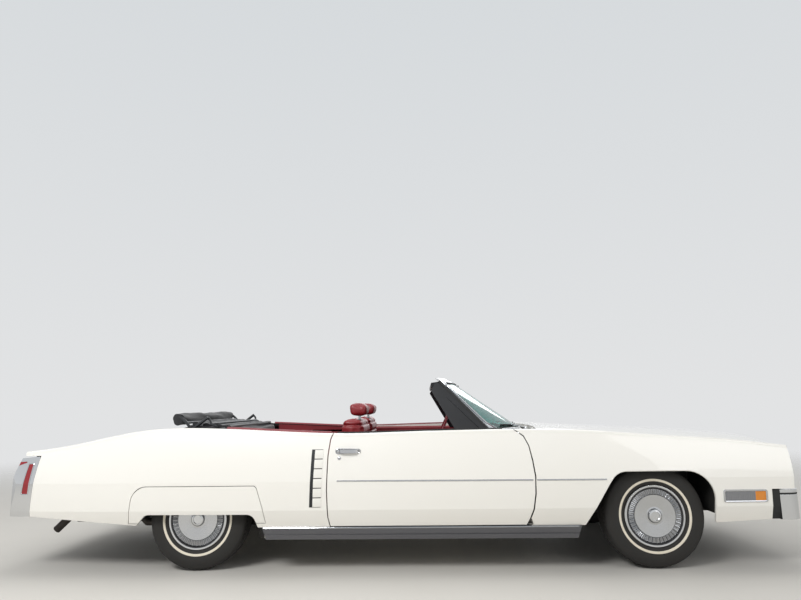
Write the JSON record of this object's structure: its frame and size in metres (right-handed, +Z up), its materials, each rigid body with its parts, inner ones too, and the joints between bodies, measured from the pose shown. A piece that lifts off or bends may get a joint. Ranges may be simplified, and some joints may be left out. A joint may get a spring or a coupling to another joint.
{
  "type": "convertible car",
  "caption": "Full-size two-door convertible car, top folded, long nose and tail, covered rear wheels; doors, lids, steering and wheels move.",
  "frame": {"origin": "on the ground at mid length and mid width", "axes": "+X to the nose, +Y to the left side, +Z up"},
  "size_m": [5.6691, 2.0274, 1.3339],
  "materials": {
    "body_paint": "gloss",
    "frame_paint": "satin",
    "floor_paint": "satin",
    "inner_paint": "satin",
    "cowl_paint": "gloss",
    "grille_chrome": "polished",
    "bezel_chrome": "polished",
    "bumper_chrome": "polished",
    "filler_rubber": "matte",
    "lamp_glass": "clear",
    "red_lens": "gloss",
    "clear_lens": "gloss",
    "amber_lens": "gloss",
    "bright_trim": "polished",
    "screen_chrome": "polished",
    "tinted_glass": "tinted",
    "pillar_trim": "matte",
    "dash_vinyl": "grained",
    "seat_leather": "satin",
    "top_cloth": "woven",
    "iron_paint": "satin",
    "engine_paint": "satin",
    "exhaust_steel": "dull",
    "tank_steel": "satin",
    "chassis_iron": "rough",
    "door_leather": "satin",
    "mirror_chrome": "polished",
    "wheel_vinyl": "satin",
    "knuckle_iron": "rough",
    "tyre_rubber": "matte",
    "wheel_steel": "polished"
  },
  "bodies": {
    "car_body": {"frame": "frame_paint", "floor": "floor_paint", "front_structure": "inner_paint", "rear_structure": "inner_paint", "fenders": "body_paint", "quarters": "body_paint", "skirts": "body_paint", "rear_deck": "body_paint", "cowl_panel": "cowl_paint", "grille": "grille_chrome", "lamp_panels": "bezel_chrome", "front_bumper": "bumper_chrome", "bumper_fillers": "filler_rubber", "rear_bumper": "bumper_chrome", "headlamps": "lamp_glass", "tail_lamps": "red_lens", "side_lamps_clear": "clear_lens", "side_lamps_amber": "amber_lens", "rocker_trim": "bright_trim", "windshield_frame": "screen_chrome", "windshield_glass": "tinted_glass", "screen_pillars": "pillar_trim", "dashboard": "dash_vinyl", "front_seats": "seat_leather", "rear_seat": "seat_leather", "folded_top": "top_cloth", "top_irons": "iron_paint", "engine": "engine_paint", "exhaust": "exhaust_steel", "fuel_tank": "tank_steel", "rear_axle": "chassis_iron", "front_suspension": "chassis_iron"},
    "hood": {"hood": "body_paint"},
    "trunk_lid": {"trunk_lid": "body_paint"},
    "door_left": {"door_left": "body_paint", "door_trim_left": "door_leather", "door_mirror": "mirror_chrome"},
    "door_right": {"door_right": "body_paint", "door_trim_right": "door_leather"},
    "steering_wheel": {"steering_wheel": "wheel_vinyl"},
    "knuckle_left": {"knuckle_left": "knuckle_iron"},
    "knuckle_right": {"knuckle_right": "knuckle_iron"},
    "road_wheel_front_left": {"tyre_front_left": "tyre_rubber", "wheel_front_left": "wheel_steel"},
    "road_wheel_front_right": {"tyre_front_right": "tyre_rubber", "wheel_front_right": "wheel_steel"},
    "road_wheel_rear_left": {"tyre_rear_left": "tyre_rubber", "wheel_rear_left": "wheel_steel"},
    "road_wheel_rear_right": {"tyre_rear_right": "tyre_rubber", "wheel_rear_right": "wheel_steel"}
  },
  "joints": [
    {"name": "steer_left", "type": "hinge", "parent": "car_body", "child": "knuckle_left", "pos_m": [1.789, 0.672, 0.35], "axis": [0, 0, 1], "range_deg": [-32, 32]},
    {"name": "steer_right", "type": "hinge", "parent": "car_body", "child": "knuckle_right", "pos_m": [1.789, -0.672, 0.35], "axis": [0, 0, 1], "range_deg": [-32, 32]},
    {"name": "steering_wheel_turn", "type": "hinge", "parent": "car_body", "child": "steering_wheel", "pos_m": [0.345, 0.4, 0.855], "axis": [-0.9135, 0, 0.4067], "range_deg": [-540, 540]},
    {"name": "door_left_open", "type": "hinge", "parent": "car_body", "child": "door_left", "pos_m": [0.917, 0.972, 0.5], "axis": [0, 0, -1], "range_deg": [0, 65]},
    {"name": "door_right_open", "type": "hinge", "parent": "car_body", "child": "door_right", "pos_m": [0.917, -0.972, 0.5], "axis": [0, 0, 1], "range_deg": [0, 65]},
    {"name": "hood_open", "type": "hinge", "parent": "car_body", "child": "hood", "pos_m": [0.958, 0, 0.855], "axis": [0, -1, 0], "range_deg": [0, 45]},
    {"name": "trunk_open", "type": "hinge", "parent": "car_body", "child": "trunk_lid", "pos_m": [-1.78, 0, 0.89584], "axis": [0, 1, 0], "range_deg": [0, 60]},
    {"name": "wheel_front_left_spin", "type": "hinge", "parent": "knuckle_left", "child": "road_wheel_front_left", "pos_m": [1.789, 0.806, 0.35], "axis": [0, 1, 0], "continuous": true},
    {"name": "wheel_rear_left_spin", "type": "hinge", "parent": "car_body", "child": "road_wheel_rear_left", "pos_m": [-1.419, 0.806, 0.35], "axis": [0, 1, 0], "continuous": true},
    {"name": "wheel_front_right_spin", "type": "hinge", "parent": "knuckle_right", "child": "road_wheel_front_right", "pos_m": [1.789, -0.806, 0.35], "axis": [0, 1, 0], "continuous": true},
    {"name": "wheel_rear_right_spin", "type": "hinge", "parent": "car_body", "child": "road_wheel_rear_right", "pos_m": [-1.419, -0.806, 0.35], "axis": [0, 1, 0], "continuous": true}
  ],
  "couplings": [
    {"joint": "steer_right", "follows": "steer_left", "ratio": 1},
    {"joint": "steering_wheel_turn", "follows": "steer_left", "ratio": 16.8}
  ]
}
